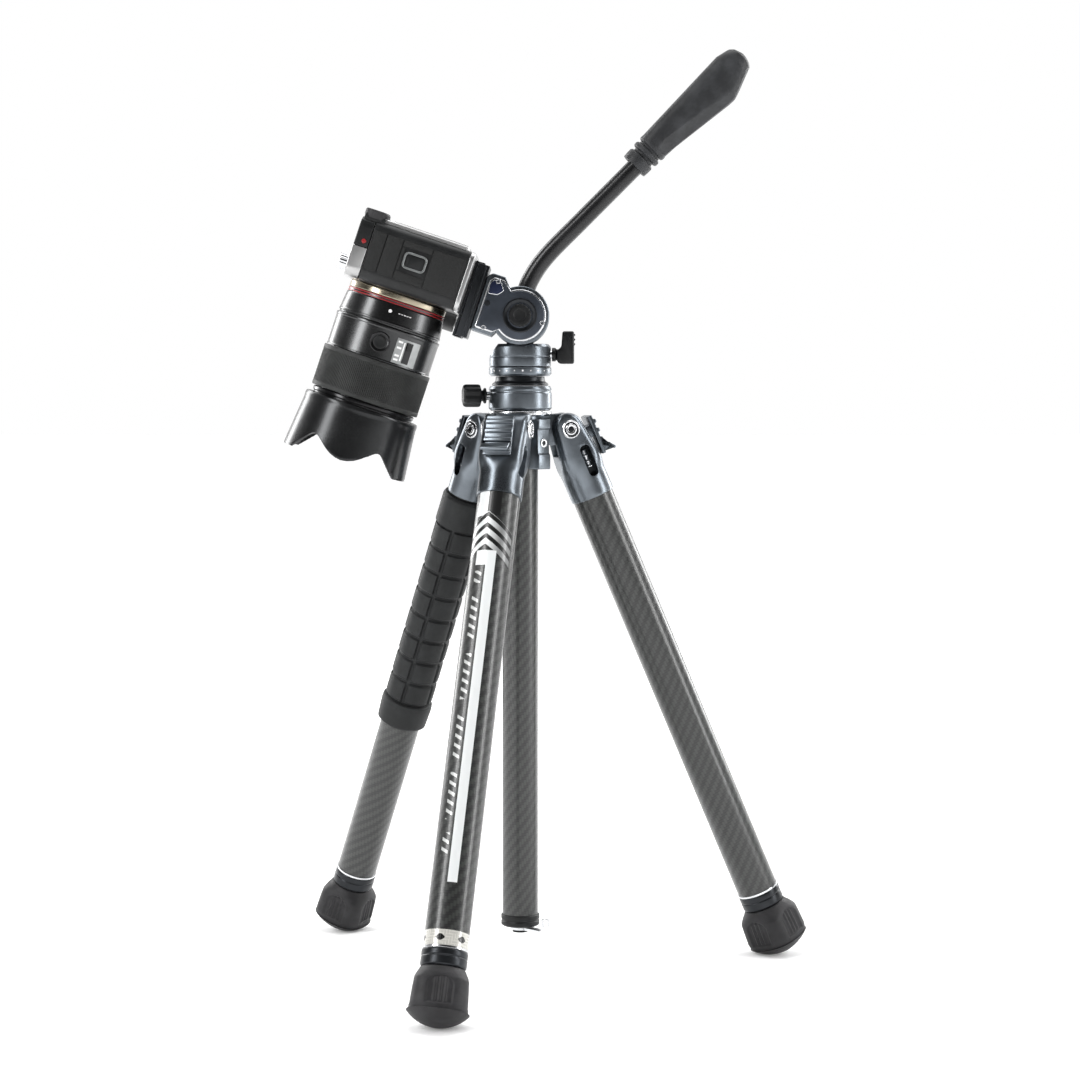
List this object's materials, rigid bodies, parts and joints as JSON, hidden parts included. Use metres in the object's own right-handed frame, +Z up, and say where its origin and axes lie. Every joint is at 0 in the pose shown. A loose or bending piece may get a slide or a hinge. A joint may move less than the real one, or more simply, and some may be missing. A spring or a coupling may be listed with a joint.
{
  "type": "camera on tripod",
  "caption": "Compact carbon-leg tripod with a pan and tilt head holding a small camera whose hooded lens points down; legs, column, head, handle, screen and dials move.",
  "frame": {"origin": "middle of the footprint on the floor", "axes": "+Z up; the lens's horizontal heading is -X at rest, and the tilt axis is along Y"},
  "size_m": [0.3551, 0.345, 0.622],
  "materials": {
    "alloy_grey": "blue-grey satin anodised alloy",
    "bright_steel": "bright turned steel",
    "carbon_tube": "carbon fibre twill under clear lacquer",
    "inner_tube": "dark satin anodised inner tube",
    "black_rubber": "matt black rubber",
    "black_alloy": "black satin anodised alloy",
    "black_plastic": "black moulded plastic",
    "silver_cover": "silver painted magnesium cover",
    "leatherette": "black grained body covering",
    "lens_black": "black satin lens barrel",
    "lens_glass": "coated front glass",
    "screen_glass": "black glossy screen"
  },
  "bodies": {
    "tripod": {"spider_hub": "alloy_grey", "column_collar": "alloy_grey", "leg_a_pivot_bolt": "bright_steel", "leg_b_pivot_bolt": "bright_steel", "leg_c_pivot_bolt": "bright_steel"},
    "leg_a": {"leg_a_shoulder": "alloy_grey", "leg_a_upper_tube": "carbon_tube", "leg_a_grip_sleeve": "black_rubber"},
    "leg_a_catch": {"leg_a_angle_catch": "alloy_grey"},
    "leg_a_middle": {"leg_a_middle_tube": "carbon_tube"},
    "leg_a_lower": {"leg_a_lower_tube": "inner_tube"},
    "leg_a_foot": {"leg_a_foot": "black_rubber"},
    "leg_b": {"leg_b_shoulder": "alloy_grey", "leg_b_upper_tube": "carbon_tube"},
    "leg_b_catch": {"leg_b_angle_catch": "alloy_grey"},
    "leg_b_middle": {"leg_b_middle_tube": "carbon_tube"},
    "leg_b_lower": {"leg_b_lower_tube": "inner_tube"},
    "leg_b_foot": {"leg_b_foot": "black_rubber"},
    "leg_c": {"leg_c_shoulder": "alloy_grey", "leg_c_upper_tube": "carbon_tube"},
    "leg_c_catch": {"leg_c_angle_catch": "alloy_grey"},
    "leg_c_middle": {"leg_c_middle_tube": "carbon_tube"},
    "leg_c_lower": {"leg_c_lower_tube": "inner_tube"},
    "leg_c_foot": {"leg_c_foot": "black_rubber"},
    "column_knob": {"column_lock_knob": "black_plastic"},
    "column": {"centre_column": "carbon_tube", "column_end_cap": "black_plastic", "head_neck": "black_alloy", "pan_ring": "alloy_grey"},
    "hook": {"weight_hook": "bright_steel"},
    "head": {"head_base": "alloy_grey"},
    "pan_knob": {"pan_lock_knob": "black_plastic"},
    "tilt_head": {"tilt_body": "alloy_grey", "tilt_side_cover": "black_alloy", "tilt_axle": "bright_steel", "plate_clamp": "black_alloy"},
    "tilt_dial": {"tilt_lock_dial": "black_plastic"},
    "clamp_knob": {"clamp_knob": "black_plastic"},
    "handle": {"handle_hub": "black_alloy", "handle_tube": "black_alloy", "handle_grip": "black_plastic"},
    "camera": {"camera_base_plate": "silver_cover", "camera_body": "leatherette", "camera_top_plate": "silver_cover", "viewfinder": "black_plastic", "camera_screw": "bright_steel", "release_plate": "black_alloy", "lens_rear_barrel": "lens_black", "lens_mid_barrel": "lens_black", "lens_front_barrel": "lens_black", "front_glass": "lens_glass"},
    "screen": {"rear_screen": "screen_glass"},
    "port_door": {"port_door": "black_plastic"},
    "left_dial": {"left_dial": "silver_cover"},
    "mode_dial": {"mode_dial": "silver_cover"},
    "shutter": {"shutter_button": "silver_cover"},
    "focus_ring": {"focus_ring": "black_rubber"},
    "hood": {"lens_hood": "black_plastic"},
    "hold_button": {"focus_hold_button": "black_plastic"},
    "focus_switch": {"focus_mode_switch": "black_plastic"}
  },
  "joints": [
    {"name": "leg_a_splay", "type": "hinge", "parent": "tripod", "child": "leg_a", "pos_m": [-0.04057, 0.04517, 0.36464], "axis": [0.712, 0.7022, 0], "range_deg": [-23, 0]},
    {"name": "leg_a_catch_swing", "type": "hinge", "parent": "leg_a", "child": "leg_a_catch", "pos_m": [-0.05095, 0.0557, 0.37325], "axis": [0.712, 0.7022, 0], "range_deg": [0, 20]},
    {"name": "leg_a_middle_slide", "type": "slide", "parent": "leg_a", "child": "leg_a_middle", "axis": [-0.28, 0.2839, -0.9171], "range_m": [0, 0.26]},
    {"name": "leg_a_lower_slide", "type": "slide", "parent": "leg_a_middle", "child": "leg_a_lower", "axis": [-0.28, 0.2839, -0.9171], "range_m": [0, 0.26]},
    {"name": "leg_a_foot_twist", "type": "hinge", "parent": "leg_a_lower", "child": "leg_a_foot", "pos_m": [-0.14416, 0.15022, 0.02533], "axis": [-0.28, 0.2839, -0.9171], "range_deg": [0, 60]},
    {"name": "leg_b_splay", "type": "hinge", "parent": "tripod", "child": "leg_b", "pos_m": [-0.02703, -0.00679, 0.36464], "axis": [-0.9641, 0.2656, 0], "range_deg": [-23, 0]},
    {"name": "leg_b_catch_swing", "type": "hinge", "parent": "leg_b", "child": "leg_b_catch", "pos_m": [-0.03096, -0.02105, 0.37325], "axis": [-0.9641, 0.2656, 0], "range_deg": [0, 20]},
    {"name": "leg_b_middle_slide", "type": "slide", "parent": "leg_b", "child": "leg_b_middle", "axis": [-0.1059, -0.3844, -0.9171], "range_m": [0, 0.26]},
    {"name": "leg_b_lower_slide", "type": "slide", "parent": "leg_b_middle", "child": "leg_b_lower", "axis": [-0.1059, -0.3844, -0.9171], "range_m": [0, 0.26]},
    {"name": "leg_b_foot_twist", "type": "hinge", "parent": "leg_b_lower", "child": "leg_b_foot", "pos_m": [-0.06621, -0.14903, 0.02533], "axis": [-0.1059, -0.3844, -0.9171], "range_deg": [0, 60]},
    {"name": "leg_c_splay", "type": "hinge", "parent": "tripod", "child": "leg_c", "pos_m": [0.0112, 0.03091, 0.36464], "axis": [0.2521, -0.9677, 0], "range_deg": [-23, 0]},
    {"name": "leg_c_catch_swing", "type": "hinge", "parent": "leg_c", "child": "leg_c_catch", "pos_m": [0.02551, 0.03464, 0.37325], "axis": [0.2521, -0.9677, 0], "range_deg": [0, 20]},
    {"name": "leg_c_middle_slide", "type": "slide", "parent": "leg_c", "child": "leg_c_middle", "axis": [0.3859, 0.1005, -0.9171], "range_m": [0, 0.26]},
    {"name": "leg_c_lower_slide", "type": "slide", "parent": "leg_c_middle", "child": "leg_c_lower", "axis": [0.3859, 0.1005, -0.9171], "range_m": [0, 0.26]},
    {"name": "leg_c_foot_twist", "type": "hinge", "parent": "leg_c_lower", "child": "leg_c_foot", "pos_m": [0.15397, 0.0681, 0.02533], "axis": [0.3859, 0.1005, -0.9171], "range_deg": [0, 60]},
    {"name": "column_lock_turn", "type": "hinge", "parent": "tripod", "child": "column_knob", "pos_m": [-0.04834, 0.01789, 0.387], "axis": [-0.9848, -0.1736, 0], "range_deg": [-360, 0]},
    {"name": "column_raise", "type": "slide", "parent": "tripod", "child": "column", "axis": [0, 0, 1], "range_m": [0, 0.25]},
    {"name": "hook_swivel", "type": "hinge", "parent": "column", "child": "hook", "pos_m": [-0.0188, 0.0231, 0.027], "axis": [0, 0, 1], "continuous": true},
    {"name": "pan", "type": "hinge", "parent": "column", "child": "head", "pos_m": [-0.0188, 0.0231, 0.41], "axis": [0, 0, 1], "continuous": true},
    {"name": "pan_lock_turn", "type": "hinge", "parent": "head", "child": "pan_knob", "pos_m": [0.0092, 0.0231, 0.4145], "axis": [1, 0, 0], "range_deg": [-360, 0]},
    {"name": "tilt", "type": "hinge", "parent": "head", "child": "tilt_head", "pos_m": [-0.0188, 0.0231, 0.44], "axis": [0, 1, 0], "range_deg": [-3, 80]},
    {"name": "tilt_dial_turn", "type": "hinge", "parent": "tilt_head", "child": "tilt_dial", "pos_m": [-0.0188, 0.0011, 0.44], "axis": [0, -1, 0], "range_deg": [0, 360]},
    {"name": "clamp_knob_turn", "type": "hinge", "parent": "tilt_head", "child": "clamp_knob", "pos_m": [-0.04896, 0.0511, 0.45009], "axis": [0, 1, 0], "range_deg": [-360, 0]},
    {"name": "handle_swing", "type": "hinge", "parent": "tilt_head", "child": "handle", "pos_m": [-0.0188, 0.0511, 0.44], "axis": [0, -1, 0], "range_deg": [-60, 20]},
    {"name": "plate_slide", "type": "slide", "parent": "tilt_head", "child": "camera", "axis": [0.3173, 0, 0.9483], "range_m": [0, 0.045]},
    {"name": "screen_tilt", "type": "hinge", "parent": "camera", "child": "screen", "pos_m": [-0.10231, 0.0336, 0.50053], "axis": [0, -1, 0], "range_deg": [0, 90]},
    {"name": "port_door_swing", "type": "hinge", "parent": "camera", "child": "port_door", "pos_m": [-0.08456, -0.0335, 0.47951], "axis": [-0.9483, 0, 0.3173], "range_deg": [0, 100]},
    {"name": "left_dial_turn", "type": "hinge", "parent": "camera", "child": "left_dial", "pos_m": [-0.13358, -0.0149, 0.47482], "axis": [-0.9483, 0, 0.3173], "continuous": true},
    {"name": "mode_dial_turn", "type": "hinge", "parent": "camera", "child": "mode_dial", "pos_m": [-0.13123, 0.0531, 0.48184], "axis": [-0.9483, 0, 0.3173], "continuous": true},
    {"name": "shutter_press", "type": "slide", "parent": "camera", "child": "shutter", "axis": [0.9483, 0, -0.3173], "range_m": [0, 0.0015], "stiffness_N_per_m": 400},
    {"name": "focus_turn", "type": "hinge", "parent": "camera", "child": "focus_ring", "pos_m": [-0.11884, 0.0231, 0.39755], "axis": [-0.3173, 0, -0.9483], "continuous": true},
    {"name": "hood_twist", "type": "hinge", "parent": "camera", "child": "hood", "pos_m": [-0.13153, 0.0231, 0.35962], "axis": [-0.3173, 0, -0.9483], "range_deg": [0, 60]},
    {"name": "hold_press", "type": "slide", "parent": "camera", "child": "hold_button", "axis": [0, 1, 0], "range_m": [0, 0.0006], "stiffness_N_per_m": 400},
    {"name": "focus_switch_slide", "type": "slide", "parent": "camera", "child": "focus_switch", "axis": [-0.3173, 0, -0.9483], "range_m": [0, 0.007]}
  ]
}
